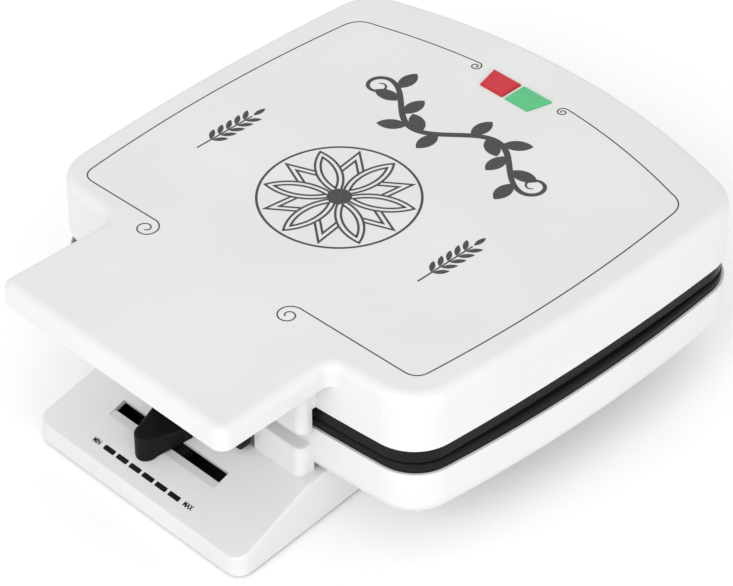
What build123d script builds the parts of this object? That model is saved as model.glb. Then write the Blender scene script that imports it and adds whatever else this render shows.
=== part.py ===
"""Bricelet iron: a thin-waffle iron with a hinged lid, a flat tongue handle and a slider for the heat.

Millimetres. +Z is up, the handle points to -Y, and X = 0 is the plane of symmetry of the housings.
The origin is on the table, under the middle of the whole outline.
"""
import math
import os

from build123d import *

# Outline of the two housings, seen from above
body_depth = 229.5
body_half_width = 120.0
front_corner_draw = 6.2
rear_corner_draw = 2.7
widest_from_front = 124.0
front_sag = 6.8
rear_sag = 22.0
front_corner_radius = 22.0
rear_corner_radius = 24.0

# Heights above the table
foot_height = 1.2
base_top = 25.5
lower_rim = 50.9
parting = 55.35
upper_rim = 63.6
top_height = 93.5

# Shells
wall = 2.5
top_edge_radius = 4.5
lower_edge_radius = 9.5
base_swell = 2.2

# Handle tongue and the chin under its root
handle_reach = 60.5
handle_half_width_front = 70.0
handle_half_width_root = 68.6
handle_thickness = 11.5
handle_corner_radius = 6.0
handle_root_radius = 6.0
handle_cover_thickness = 2.0
handle_cover_gap = 0.2
chin_half_width = 60.0
chin_proud = 6.5
chin_gap = 0.3
chin_bottom = 50.0
chin_edge_radius = 4.5

# Hinge behind the rear wall
hinge_setback = 3.0
hinge_height = 57.2
knuckle_radius = 5.5
hinge_pin_radius = 2.0
hinge_pin_head_radius = 3.4
hinge_pin_head = 1.2
hinge_centre_x = 55.0
upper_knuckle_width = 11.6
ear_width = 4.8
ear_gap = 0.4
knuckle_web = 14.0
knuckle_bite = 0.5
knuckle_shoulder = 4.4
knuckle_waist = 3.3
running_clearance = 0.05

# Black frames between the housings
frame_recess = 1.2
frame_inner_inset = 12.0
frame_skirt_inset = 3.0
frame_ledge_inset = 17.0
frame_gap = 0.3
frame_ledge_thickness = 3.0
frame_edge_radius = 1.5

# Baking plates
plate_inset = 12.4
plate_thickness = 7.0
plate_from_parting = 0.75
well_radius = 43.0
well_depth = 1.5
well_pitch_x = 100.0
well_pitch_y = 97.0
well_centre_from_front = 114.0
well_rib_count = 8
well_rib_length = 26.6
well_rib_width = 1.6
well_rib_middle = 23.7
well_hub_radius = 9.5
well_hub_width = 2.2
well_relief = 0.9
plate_screw_skin = 2.0

# Heating elements and the pans that shield them
heater_radius = 3.25
heater_half_width = 72.0
heater_front_from_front = 38.0
heater_rear_from_front = 176.0
heater_shoulder_from_rear = 53.0
heater_neck_from_rear = 24.0
heater_tail_half_gap = 22.0
heater_tail = 20.0
heater_bend_radius = 18.0
terminal_radius = 1.6
terminal_length = 12.0
shield_inset = 18.0
shield_thickness = 1.0
shield_depth = 9.5
shield_notch_gap = 1.0

# Pedestal with the sloping control panel
pedestal_front_from_body = 50.0
pedestal_half_width_front = 66.2
pedestal_half_width_rear = 48.4
pedestal_rear_from_body = 33.0
pedestal_lip = 11.0
pedestal_corner_radius = 7.0
pedestal_edge_radius = 1.3
pedestal_wall = 2.5

# Nose of the lower housing, above the control panel
nose_half_width = 57.5
nose_proud = 5.5
nose_top = 41.0
nose_corner_radius = 4.0
nose_edge_radius = 1.5

# Latch that hangs under the handle and swings under a ledge in the nose
latch_half_width = 28.7
latch_front_from_body = 12.0
latch_thickness = 2.7
latch_bottom = 27.0
latch_corner_radius = 3.0
latch_boss_depth = 2.0
latch_hook_half_width = 12.0
latch_hook_depth = 1.5
latch_hook_bottom = 31.0
latch_hook_height = 4.0
latch_pivot_below_handle = 6.0
latch_barrel_radius = 3.5
latch_pin_radius = 1.5
latch_lug_width = 3.5
latch_lug_wall = 1.0
latch_side_gap = 0.5
latch_recess_depth = 6.0
latch_ledge_top_gap = 1.2

# Temperature slider
slot_centre_x = -5.0
slot_length = 68.0
slot_width = 5.8
slot_from_panel_rear = 18.0
slot_lip_width = 4.0
slot_lip_depth = 1.0
slider_x = -9.6
knob_top = 28.0
knob_nose_radius = 6.0
knob_rear_half_width = 12.0
knob_nose_ahead = 9.3
knob_rear_behind = 6.0
knob_gap = 0.5
knob_edge_radius = 1.2
stem_half_width = 5.0
stem_gap = 0.6
stem_bite = 1.0
carriage_half_width = 13.0
carriage_thickness = 3.0
guide_length = 84.0
guide_width = 22.0
guide_wall = 1.6
guide_gap = 0.3
slider_pin_radius = 1.5
slider_pin_bottom = 5.6

# Thermostat under the lower plate, turned by a slotted lever
lever_reach = 44.0
lever_turn_per_mm = 0.0212
lever_z = 7.0
lever_thickness = 2.0
lever_half_width = 5.5
lever_slot_half_width = 2.4
lever_slot_start = 42.0
lever_slot_end = 52.5
lever_eye_radius = 6.0
lever_collar_radius = 5.0
shaft_radius = 3.0
shaft_hole_radius = 4.0
thermostat_width = 30.0
thermostat_depth = 26.0
thermostat_height = 8.0
thermostat_corner_radius = 3.0
thermostat_tab_length = 8.0
thermostat_tab_half_width = 3.2
thermostat_tab_height = 3.0
thermostat_tab_thickness = 0.8
thermostat_bore_depth = 5.0
shaft_end_gap = 0.5

# Signal lamps in the rear of the lid
lens_centre_x = -9.0
lens_half_gap = 1.0
lens_rear_width = 17.2
lens_front_width = 13.8
lens_depth = 13.0
lens_rear_from_rear = 27.3
lens_rise = 1.2
lens_clearance = 0.15
lens_flange = 1.6
lens_flange_thickness = 1.2
lens_edge_radius = 0.9
lens_seam = 0.25
lamp_radius = 2.2
lamp_length = 6.0
lamp_top_gap = 0.8
lamp_board_thickness = 1.6
lamp_board_margin_x = 8.0
lamp_board_margin_y = 4.0
lamp_post_radius = 2.2
lamp_post_from_edge = 3.0

# Feet, bottom cover, cord entry
foot_radius = 7.0
foot_stem_radius = 2.5
foot_stem_reach = 1.5
foot_edge_radius = 0.5
bottom_cover_thickness = 2.5
bottom_cover_gap = 0.2
cover_head_depth = 1.6
cover_screw_margin = 9.0
cover_screw_from_end = 35.0
vent_count = 5
vent_half_length = 18.0
vent_width = 3.0
vent_pitch = 8.0
gland_radius = 5.0
gland_bore_radius = 3.4
gland_flange_radius = 5.6
gland_height = 38.8
gland_proud = 6.0
gland_gap = 0.1
gland_flange_gap = 0.3
gland_flange_thickness = 2.7
gland_tip = 2.0

# Cord clamp, terminal block and thermal fuse on the floor of the lower housing
clamp_from_rear = 24.0
clamp_half_length = 13.0
clamp_width = 8.0
clamp_height = 6.0
clamp_thickness = 3.0
clamp_post_x = 9.0
clamp_post_radius = 3.2
terminal_block_x = 24.0
terminal_block_from_rear = 46.0
terminal_block_length = 36.0
terminal_block_width = 14.0
terminal_block_height = 9.0
terminal_count = 3
terminal_screw_well_radius = 2.4
terminal_screw_well_depth = 4.0
terminal_wire_bore_radius = 1.8
terminal_wire_height = 3.0
fuse_radius = 2.6
fuse_half_length = 8.0
fuse_lead_radius = 0.6
fuse_lead_half_length = 20.0

# Screws
screw_radius = 1.6
screw_head_radius = 3.0
screw_head_height = 1.8
screw_boss_radius = 4.2
screw_hole_gap = 0.1
screw_cross_half_length = 2.0
screw_cross_half_width = 0.4
screw_cross_depth = 1.0
screw_head_edge_radius = 0.7
frame_screw_length = 12.0
frame_screw_front = 50.0
frame_screw_rear = 48.0
frame_head_depth = 2.8
plate_screw_front = 90.0
plate_screw_rear = 78.0
handle_screw_inset = 10.0
handle_screw_from_front = 12.5
handle_screw_from_chin = 10.0
handle_screw_length = 4.0
pedestal_screw_front = 22.0
pedestal_screw_rear = 62.0
pedestal_screw_margin = 15.4
pedestal_screw_length = 5.0
cover_screw_length = 6.0

# Places that follow from the sizes
total_depth = handle_reach + body_depth + hinge_setback + knuckle_radius
handle_front = -total_depth / 2
body_front = handle_front + handle_reach
body_rear = body_front + body_depth
hinge_y = body_rear + hinge_setback
widest_y = body_front + widest_from_front
handle_underside = top_height - handle_thickness
front_corner_half_width = body_half_width - front_corner_draw
rear_corner_half_width = body_half_width - rear_corner_draw
lower_floor = base_top + wall
lower_frame_top = parting - frame_gap / 2
upper_frame_bottom = parting + frame_gap / 2
lower_plate_top = parting - plate_from_parting
lower_plate_bottom = lower_plate_top - plate_thickness
upper_plate_bottom = parting + plate_from_parting
upper_plate_top = upper_plate_bottom + plate_thickness
pedestal_front = body_front - pedestal_front_from_body
panel_rear = body_front - nose_proud
pedestal_rear = body_rear - pedestal_rear_from_body
panel_rise = base_top - pedestal_lip
panel_angle = math.degrees(math.atan2(panel_rise, panel_rear - pedestal_front))
slot_y = panel_rear - slot_from_panel_rear
latch_y = body_front - latch_front_from_body
latch_pivot_y = latch_y + latch_thickness / 2
latch_pivot_height = handle_underside - latch_pivot_below_handle
well_centre_y = body_front + well_centre_from_front
plate_screw_length = frame_ledge_thickness + plate_thickness - 1.5 * plate_screw_skin
shaft_x = slot_centre_x
shaft_y = slot_y + lever_reach


def panel_height(y):
    """Height of the sloping panel's outer face at y."""
    return pedestal_lip + (y - pedestal_front) * panel_rise / (panel_rear - pedestal_front)


def pedestal_side_x(y):
    """Half width of the pedestal at y."""
    share = (y - pedestal_front) / (pedestal_rear - pedestal_front)
    return pedestal_half_width_front + (pedestal_half_width_rear - pedestal_half_width_front) * share


def arc_through(a, b, c):
    """Centre and radius of the circle through three points."""
    d = 2 * (a[0] * (b[1] - c[1]) + b[0] * (c[1] - a[1]) + c[0] * (a[1] - b[1]))
    sq = [p[0] ** 2 + p[1] ** 2 for p in (a, b, c)]
    x = (sq[0] * (b[1] - c[1]) + sq[1] * (c[1] - a[1]) + sq[2] * (a[1] - b[1])) / d
    y = (sq[0] * (c[0] - b[0]) + sq[1] * (a[0] - c[0]) + sq[2] * (b[0] - a[0])) / d
    return x, y, math.hypot(a[0] - x, a[1] - y)


def side_x(y, inset=0.0):
    """Half width of the housings at y, measured to a line that lies inset inside the wall."""
    front = (front_corner_half_width, body_front + front_sag)
    rear = (rear_corner_half_width, body_rear - rear_sag)
    x, cy, r = arc_through(front, (body_half_width, widest_y), rear)
    return x + math.sqrt((r - inset) ** 2 - (y - cy) ** 2)


def rear_y(x):
    """Y of the rear wall's outer face at x."""
    corner = (rear_corner_half_width, body_rear - rear_sag)
    cx, y, r = arc_through(corner, (0, body_rear), (-corner[0], corner[1]))
    return y + math.sqrt(r ** 2 - (x - cx) ** 2)


def body_outline(inset=0.0, swell=0.0):
    """Bulged square of the housings, drawn in by inset, its sides bulging further by swell."""
    front = (front_corner_half_width, body_front + front_sag)
    rear = (rear_corner_half_width, body_rear - rear_sag)
    widest = body_half_width + swell
    edges = [
        ThreePointArc((-front[0], front[1]), (0, body_front), front),
        ThreePointArc(front, (widest, widest_y), rear),
        ThreePointArc(rear, (0, body_rear), (-rear[0], rear[1])),
        ThreePointArc((-rear[0], rear[1]), (-widest, widest_y), (-front[0], front[1])),
    ]
    shape = make_face(edges)
    shape = fillet(shape.vertices().group_by(Axis.Y)[0], front_corner_radius)
    shape = fillet(shape.vertices().group_by(Axis.Y)[-1], rear_corner_radius)
    if inset:
        shape = offset(shape, amount=-inset)
    return shape


def slab(shape, bottom, top):
    """Prism of a flat shape between two heights."""
    return Pos(0, 0, bottom) * extrude(shape, top - bottom)


def ring(outer_inset, inner_inset, bottom, top, swell=0.0):
    """Closed band of the housings' outline between two insets and two heights."""
    return slab(body_outline(outer_inset, swell), bottom, top) - slab(body_outline(inner_inset), bottom, top)


def block(x0, x1, y0, y1, z0, z1):
    """Box between two corners."""
    return Pos((x0 + x1) / 2, (y0 + y1) / 2, (z0 + z1) / 2) * Box(x1 - x0, y1 - y0, z1 - z0)


def rod(x, y, z0, z1, radius):
    """Upright cylinder."""
    return Pos(x, y, (z0 + z1) / 2) * Cylinder(radius, z1 - z0)


def cross_rod(x0, x1, y, z, radius):
    """Cylinder along X."""
    return Pos((x0 + x1) / 2, y, z) * Rot(0, 90, 0) * Cylinder(radius, x1 - x0)


def handle_outline(inset=0.0):
    """Tongue of the handle, run well into the body."""
    root = body_front + 2 * (front_sag + handle_root_radius)
    front = handle_front + inset
    half_front = handle_half_width_front - inset
    half_root = handle_half_width_root - inset
    shape = Polygon((-half_front, front), (half_front, front), (half_root, root), (-half_root, root),
                    align=None)
    return fillet(shape.vertices().group_by(Axis.Y)[0], handle_corner_radius - inset)


def top_outline():
    """Body and tongue as one shape, with rounded inner corners at the root."""
    shape = body_outline() + handle_outline()
    root = [v for v in shape.vertices()
            if abs(abs(v.X) - handle_half_width_root) < 1 and v.Y < body_front + 2 * front_sag]
    return fillet(root, handle_root_radius)


def screw_places():
    """Corner places of the frame screws, on the middle of the frames."""
    inset = (frame_recess + frame_inner_inset) / 2
    rows = (body_front + frame_screw_front, body_rear - frame_screw_rear)
    return [(side * side_x(y, inset), y) for y in rows for side in (-1, 1)]


def plate_screw_places():
    """Places of the screws that hold a plate to its frame's ledge."""
    inset = (frame_inner_inset + frame_ledge_inset) / 2
    rows = (body_front + plate_screw_front, body_rear - plate_screw_rear)
    return [(side * side_x(y, inset), y) for y in rows for side in (-1, 1)]


def handle_screw_places():
    rows = (handle_front + handle_screw_from_front, body_front - chin_proud - handle_screw_from_chin)
    return [(side * (handle_half_width_root - handle_screw_inset), y) for y in rows for side in (-1, 1)]


def pedestal_screw_places():
    rows = (body_front + pedestal_screw_front, body_rear - pedestal_screw_rear)
    return [(side * (pedestal_side_x(y) - pedestal_screw_margin), y) for y in rows for side in (-1, 1)]


def screw(x, y, head_z, length, up):
    """Pan-head screw along Z, its head's inner face at head_z; up is 1 where the tip points up."""
    head = rod(x, y, *sorted((head_z, head_z - up * screw_head_height)), screw_head_radius)
    outer = head.faces().sort_by(Axis.Z)[0 if up > 0 else -1]
    head = fillet(outer.edges(), screw_head_edge_radius)
    shank = rod(x, y, *sorted((head_z, head_z + up * length)), screw_radius)
    face = head_z - up * screw_head_height
    bottom, top = sorted((face, face + up * screw_cross_depth))
    cross = Box(2 * screw_cross_half_length, 2 * screw_cross_half_width, top - bottom)
    cross = Pos(x, y, (bottom + top) / 2) * (cross + Rot(0, 0, 90) * cross)
    return head + shank - cross


def screw_hole(x, y, z0, z1):
    return rod(x, y, z0, z1, screw_radius + screw_hole_gap)


def head_hole(x, y, z0, z1):
    return rod(x, y, z0, z1, screw_head_radius + screw_hole_gap)


def knuckle(x0, x1, towards, depth):
    """Hinge knuckle with a web that runs up (1) or down (-1) and forward into a rear wall."""
    barrel = cross_rod(x0, x1, hinge_y, hinge_height, knuckle_radius)
    front = rear_y(max(abs(x0), abs(x1))) - knuckle_bite
    behind_frame = rear_y(min(abs(x0), abs(x1)))
    reach = hinge_height + towards * depth
    rim = upper_rim if towards > 0 else lower_rim
    side = Polygon(
        (hinge_y, hinge_height),
        (hinge_y + knuckle_radius, hinge_height),
        (front, reach),
        (front, rim),
        (behind_frame, rim),
        (hinge_y - knuckle_shoulder, hinge_height + towards * knuckle_waist),
        align=None,
    )
    web = Plane.YZ * side
    return barrel + Pos(x0, 0, 0) * extrude(web, x1 - x0, dir=(1, 0, 0))


def hinge_sides():
    return (-hinge_centre_x, hinge_centre_x)


def make_upper_housing():
    upper_layer = slab(top_outline(), handle_underside, top_height)
    lower_layer = slab(body_outline(), upper_rim, handle_underside)
    shell = upper_layer + lower_layer
    top = shell.faces().sort_by(Axis.Z)[-1]
    shell = fillet(top.edges(), top_edge_radius)
    shell -= slab(body_outline(wall), upper_rim, top_height - wall)
    shell -= slab(handle_outline(wall), handle_underside, top_height - wall) & block(
        -body_half_width, body_half_width, handle_front, body_front - wall, handle_underside, top_height)
    chin = block(-chin_half_width, chin_half_width, body_front - chin_proud, body_front + wall,
                 chin_bottom, handle_underside)
    chin -= block(-chin_half_width, chin_half_width, body_front - chin_gap, body_front + wall,
                  chin_bottom, upper_rim)
    chin = fillet(chin.edges().filter_by(Axis.Z).group_by(Axis.Y)[0], chin_edge_radius)
    chin = fillet(chin.faces().sort_by(Axis.Z)[0].edges().group_by(Axis.Y)[0], chin_edge_radius / 2)
    shell += chin
    for x, y in screw_places():
        shell += rod(x, y, upper_plate_top + frame_ledge_thickness, top_height - wall, screw_boss_radius)
        shell -= rod(x, y, upper_plate_top, top_height - 2 * wall, screw_radius)
    for side in (-1, 1):
        lug_x = sorted((side * (latch_half_width + latch_side_gap),
                        side * (latch_half_width + latch_side_gap + latch_lug_width)))
        lug = block(*lug_x, latch_pivot_y - latch_barrel_radius - latch_lug_wall, body_front - chin_proud,
                    latch_pivot_height - latch_barrel_radius - latch_lug_wall, handle_underside)
        shell += lug
        shell -= cross_rod(*lug_x, latch_pivot_y, latch_pivot_height, latch_pin_radius + running_clearance)
    for x in hinge_sides():
        half = upper_knuckle_width / 2
        shell += knuckle(x - half, x + half, 1, knuckle_web)
        shell -= cross_rod(x - half, x + half, hinge_y, hinge_height, hinge_pin_radius + running_clearance)
    for side in (-1, 1):
        shell -= slab(lens_outline(side, -lens_clearance), top_height - 2 * wall, top_height)
    return shell


def make_handle_cover():
    """Panel that closes the hollow tongue from below."""
    shape = handle_outline(wall + handle_cover_gap)
    panel = slab(shape, handle_underside, handle_underside + handle_cover_thickness)
    keep = block(-body_half_width, body_half_width, handle_front, body_front - chin_proud - handle_cover_gap,
                 handle_underside, top_height)
    panel = panel & keep
    for x, y in handle_screw_places():
        panel += rod(x, y, handle_underside, top_height - wall - handle_cover_gap, screw_boss_radius)
        panel -= head_hole(x, y, handle_underside, handle_underside + screw_head_height)
        panel -= rod(x, y, handle_underside, top_height - 2 * wall, screw_radius)
    return panel


def make_upper_frame():
    frame = ring(frame_recess, frame_inner_inset, upper_frame_bottom, upper_rim)
    frame = fillet(frame.faces().sort_by(Axis.Z)[0].outer_wire().edges(), frame_edge_radius)
    ledge_top = upper_plate_top + frame_ledge_thickness
    frame += ring(frame_skirt_inset, frame_inner_inset, upper_rim, ledge_top)
    frame += ring(frame_skirt_inset, frame_ledge_inset, upper_plate_top, ledge_top)
    for x, y in screw_places():
        frame -= screw_hole(x, y, upper_frame_bottom, top_height)
        frame -= head_hole(x, y, upper_frame_bottom, upper_frame_bottom + frame_head_depth)
    for x, y in plate_screw_places():
        frame -= screw_hole(x, y, upper_plate_top, top_height)
    return frame


def make_lower_frame():
    frame = ring(frame_recess, frame_inner_inset, lower_rim, lower_frame_top, base_swell)
    frame = fillet(frame.faces().sort_by(Axis.Z)[-1].outer_wire().edges(), frame_edge_radius)
    ledge_bottom = lower_plate_bottom - frame_ledge_thickness
    frame += ring(frame_skirt_inset, frame_inner_inset, ledge_bottom, lower_rim)
    frame += ring(frame_skirt_inset, frame_ledge_inset, ledge_bottom, lower_plate_bottom)
    for x, y in screw_places():
        frame -= screw_hole(x, y, 0, lower_frame_top)
        frame -= head_hole(x, y, lower_frame_top - frame_head_depth, lower_frame_top)
    for x, y in plate_screw_places():
        frame -= screw_hole(x, y, 0, lower_plate_bottom)
    return frame


def well_centres():
    return [(sx * well_pitch_x / 2, well_centre_y + sy * well_pitch_y / 2)
            for sx in (-1, 1) for sy in (-1, 1)]


def make_plate(bottom, top, well_face, well_sign):
    """Cast plate with four round wells; well_sign is the side that the wells open to."""
    plate = slab(body_outline(plate_inset), bottom, top)
    for x, y in well_centres():
        floor = well_face - well_sign * well_depth
        plate -= rod(x, y, *sorted((well_face, floor)), well_radius)
        relief = sorted((floor, floor + well_sign * well_relief))
        for index in range(well_rib_count):
            turn = index * 360 / well_rib_count
            rib = Pos(x, y, sum(relief) / 2) * Rot(0, 0, turn) * Pos(well_rib_middle, 0, 0)
            plate += rib * Box(well_rib_length, well_rib_width, well_relief)
        plate += rod(x, y, *relief, well_hub_radius) - rod(x, y, *relief, well_hub_radius - well_hub_width)
    back = bottom + top - well_face
    for x, y in plate_screw_places():
        tip = back + well_sign * (plate_thickness - plate_screw_skin)
        plate -= rod(x, y, *sorted((back, tip)), screw_radius)
    return plate


def heater_path(z):
    """Bent route of a tubular element, seen from above."""
    front = body_front + heater_front_from_front
    rear = body_front + heater_rear_from_front
    tail = rear + heater_tail
    points = [
        (-heater_tail_half_gap, tail, z),
        (-heater_tail_half_gap, rear - heater_neck_from_rear, z),
        (-heater_half_width, rear - heater_shoulder_from_rear, z),
        (-heater_half_width, front, z),
        (heater_half_width, front, z),
        (heater_half_width, rear - heater_shoulder_from_rear, z),
        (heater_tail_half_gap, rear - heater_neck_from_rear, z),
        (heater_tail_half_gap, tail, z),
    ]
    return FilletPolyline(*points, radius=heater_bend_radius)


def make_heater(z):
    path = heater_path(z)
    tube = sweep(Plane(path @ 0, z_dir=path % 0) * Circle(heater_radius), path=path)
    end = body_front + heater_rear_from_front + heater_tail
    for side in (-1, 1):
        x = side * heater_tail_half_gap
        tube += Pos(x, end + terminal_length / 2, z) * Rot(90, 0, 0) * Cylinder(
            terminal_radius, terminal_length)
    return tube


def make_shield(plate_face, towards):
    """Pan behind an element, its rim on the plate's back; towards is the side that the pan bulges to."""
    far = plate_face + towards * shield_depth
    near_floor = far - towards * shield_thickness
    pan = ring(shield_inset, shield_inset + shield_thickness, *sorted((plate_face, far)))
    pan += slab(body_outline(shield_inset), *sorted((near_floor, far)))
    end = body_front + heater_rear_from_front + heater_tail
    for side in (-1, 1):
        x = side * heater_tail_half_gap
        half = heater_radius + shield_notch_gap
        pan -= block(x - half, x + half, end - heater_radius, body_rear,
                     *sorted((plate_face, plate_face + towards * (heater_radius + half))))
    return pan


def make_lower_housing():
    outer = slab(body_outline(swell=base_swell), base_top, lower_rim)
    outer = fillet(outer.faces().sort_by(Axis.Z)[0].edges(), lower_edge_radius)
    inner = slab(body_outline(wall), lower_floor, lower_rim)
    inner = fillet(inner.faces().sort_by(Axis.Z)[0].edges(), lower_edge_radius - wall)
    shell = outer - inner
    nose = block(-nose_half_width, nose_half_width, panel_rear, panel_rear + latch_recess_depth + wall,
                 base_top, nose_top)
    nose = fillet(nose.edges().filter_by(Axis.Z).group_by(Axis.Y)[0], nose_corner_radius)
    nose = fillet(nose.faces().sort_by(Axis.Z)[-1].edges().group_by(Axis.Y)[0], nose_edge_radius)
    shell += nose
    half = latch_half_width + latch_side_gap
    ledge_bottom = latch_hook_bottom + latch_hook_height + latch_ledge_top_gap
    recess = block(-half, half, panel_rear, panel_rear + latch_recess_depth, base_top, ledge_bottom)
    shell -= recess
    for x, y in screw_places():
        shell += outer & rod(x, y, lower_floor, lower_plate_bottom - frame_ledge_thickness, screw_boss_radius)
        shell -= rod(x, y, lower_floor + wall, lower_rim, screw_radius)
    for x, y in pedestal_screw_places():
        shell += rod(x, y, base_top, lower_floor + 2 * wall, screw_boss_radius)
        shell -= rod(x, y, base_top, lower_floor + wall, screw_radius)
    shell -= rod(shaft_x, shaft_y, base_top, lower_floor, shaft_hole_radius)
    inner_half = upper_knuckle_width / 2 + ear_gap
    for x in hinge_sides():
        for side in (-1, 1):
            ear = sorted((x + side * inner_half, x + side * (inner_half + ear_width)))
            shell += knuckle(*ear, -1, knuckle_web)
            shell -= cross_rod(*ear, hinge_y, hinge_height, hinge_pin_radius + running_clearance)
    shell -= Pos(0, body_rear, gland_height) * Rot(90, 0, 0) * Cylinder(gland_radius, 6 * wall)
    return shell


def pedestal_solid(inset, bottom):
    """Pedestal drawn in by inset on its sides and panel, open at bottom when subtracted."""
    lift = inset / math.cos(math.radians(panel_angle))
    front = pedestal_front + inset
    rear = pedestal_rear - inset
    top = base_top - inset
    bend = panel_rear + inset * math.tan(math.radians(panel_angle / 2))
    side = Polygon((front, bottom), (front, panel_height(front) - lift), (bend, top), (rear, top),
                   (rear, bottom), align=None)
    profile = extrude(Plane.YZ * side, body_half_width, both=True)
    half_front = pedestal_half_width_front - inset
    half_rear = pedestal_half_width_rear - inset
    plan = Polygon((-half_front, front), (half_front, front), (half_rear, rear), (-half_rear, rear),
                   align=None)
    plan = fillet(plan.vertices(), pedestal_corner_radius - inset)
    return profile & slab(plan, bottom, base_top)


def on_panel(x, y):
    """Frame on the panel's outer face at x, y, its Z square to the face."""
    return Location((x, y, panel_height(y)), (panel_angle, 0, 0))


def foot_places():
    front = pedestal_front + 2 * foot_radius
    rear = pedestal_rear - 2 * foot_radius
    return [
        ("front_left_foot", -(pedestal_half_width_front - 2 * foot_radius), front),
        ("front_right_foot", pedestal_half_width_front - 2 * foot_radius, front),
        ("rear_left_foot", -(pedestal_half_width_rear - 2 * foot_radius), rear),
        ("rear_right_foot", pedestal_half_width_rear - 2 * foot_radius, rear),
    ]


def cover_screw_places():
    rows = (pedestal_front + cover_screw_from_end, pedestal_rear - cover_screw_from_end)
    return [(side * (pedestal_side_x(y) - cover_screw_margin), y) for y in rows for side in (-1, 1)]


def make_pedestal():
    shell = pedestal_solid(0, foot_height)
    rim = [e for e in shell.edges()
           if e.bounding_box().min.Z > pedestal_lip - 1 and abs(e.center().Y - panel_rear) > 1]
    shell = fillet(rim, pedestal_edge_radius)
    shell -= pedestal_solid(pedestal_wall, foot_height)
    for x, y in cover_screw_places():
        top = (panel_height(y) if y < panel_rear else base_top) - pedestal_wall
        shell += rod(x, y, foot_height + bottom_cover_thickness, top, screw_boss_radius)
        shell -= rod(x, y, foot_height, foot_height + cover_head_depth + cover_screw_length, screw_radius)
    slot = on_panel(slot_centre_x, slot_y) * Box(slot_length, slot_width, 4 * pedestal_wall)
    shell -= slot
    lip_y = -slot_width / 2 - slot_lip_width / 2
    lip = Plane.YZ * Polygon((lip_y - slot_lip_width / 2, 0), (lip_y + slot_lip_width / 2, 0),
                             (lip_y + slot_lip_width / 2, -slot_lip_depth), align=None)
    shell -= on_panel(slot_centre_x, slot_y) * extrude(lip, slot_length / 2, both=True)
    for x, y in pedestal_screw_places():
        shell -= screw_hole(x, y, foot_height, base_top)
    shell -= rod(shaft_x, shaft_y, foot_height, base_top, shaft_hole_radius)
    return shell


def make_bottom_cover():
    plate = pedestal_solid(pedestal_wall + bottom_cover_gap, foot_height)
    plate &= block(-body_half_width, body_half_width, handle_front, body_rear,
                   foot_height, foot_height + bottom_cover_thickness)
    for x, y in cover_screw_places():
        plate -= screw_hole(x, y, foot_height, base_top)
        plate -= head_hole(x, y, foot_height, foot_height + cover_head_depth)
    for name, x, y in foot_places():
        plate -= rod(x, y, foot_height, base_top, foot_stem_radius)
    for row in range(vent_count):
        y = (pedestal_front + pedestal_rear) / 2 + (row - (vent_count - 1) / 2) * vent_pitch
        plate -= block(-vent_half_length, vent_half_length, y - vent_width / 2, y + vent_width / 2,
                       foot_height, base_top)
    return plate


def make_foot(x, y):
    pad = rod(x, y, 0, foot_height, foot_radius)
    pad = fillet(pad.faces().sort_by(Axis.Z)[0].edges(), foot_edge_radius)
    stem_top = foot_height + bottom_cover_thickness + foot_stem_reach
    return pad + rod(x, y, foot_height, stem_top, foot_stem_radius)


def latch_back():
    return latch_y + latch_thickness


def make_latch():
    half = latch_half_width
    plate = block(-half, half, latch_y, latch_back(), latch_bottom, latch_pivot_height)
    plate = fillet(plate.edges().filter_by(Axis.Y).group_by(Axis.Z)[0], latch_corner_radius)
    hook_top = latch_hook_bottom + latch_hook_height
    boss = block(-half, half, latch_y, latch_back() + latch_boss_depth, latch_bottom, hook_top)
    boss = fillet(boss.edges().filter_by(Axis.Y).group_by(Axis.Z)[0], latch_corner_radius)
    hook = block(-latch_hook_half_width, latch_hook_half_width, latch_y,
                 latch_back() + latch_boss_depth + latch_hook_depth,
                 latch_hook_bottom, hook_top)
    barrel = cross_rod(-half, half, latch_pivot_y, latch_pivot_height, latch_barrel_radius)
    bore = cross_rod(-half, half, latch_pivot_y, latch_pivot_height, latch_pin_radius + running_clearance)
    return plate + boss + hook + barrel - bore


def make_latch_pin():
    half = latch_half_width + latch_side_gap + latch_lug_width
    return cross_rod(-half, half, latch_pivot_y, latch_pivot_height, latch_pin_radius)


def lens_outline(side, inset=0.0):
    """Trapezium of one signal lens; side is -1 for the left one."""
    rear = body_rear - lens_rear_from_rear
    front = rear - lens_depth
    inner = lens_centre_x + side * lens_half_gap
    corners = [(inner, front), (inner + side * lens_front_width, front),
               (inner + side * lens_rear_width, rear), (inner, rear)]
    shape = make_face(Polyline(*corners, close=True))
    if inset:
        shape = offset(shape, amount=-inset, kind=Kind.INTERSECTION)
    return shape


def make_lens(side):
    body = slab(lens_outline(side), top_height - wall, top_height + lens_rise)
    top = body.faces().sort_by(Axis.Z)[-1]
    body = fillet(top.edges(), lens_edge_radius)
    rear = body_rear - lens_rear_from_rear
    inner = lens_centre_x + side * lens_seam
    outer = lens_centre_x + side * (lens_half_gap + lens_rear_width + lens_flange)
    flange = block(*sorted((inner, outer)), rear - lens_depth - lens_flange, rear + lens_flange,
                   top_height - wall - lens_flange_thickness, top_height - wall)
    return body + flange


def make_lamp_board():
    """Carrier for the two lamps, hung from the inside of the top."""
    rear = body_rear - lens_rear_from_rear
    z = top_height - wall - lens_flange_thickness - lamp_length
    half = lens_rear_width + lamp_board_margin_x
    board = block(lens_centre_x - half, lens_centre_x + half, rear - lens_depth - lamp_board_margin_y,
                  rear + lamp_board_margin_y, z - lamp_board_thickness, z)
    for side in (-1, 1):
        x = lens_centre_x + side * (half - lamp_post_from_edge)
        board += rod(x, rear - lens_depth / 2, z, top_height - wall, lamp_post_radius)
    return board


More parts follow.
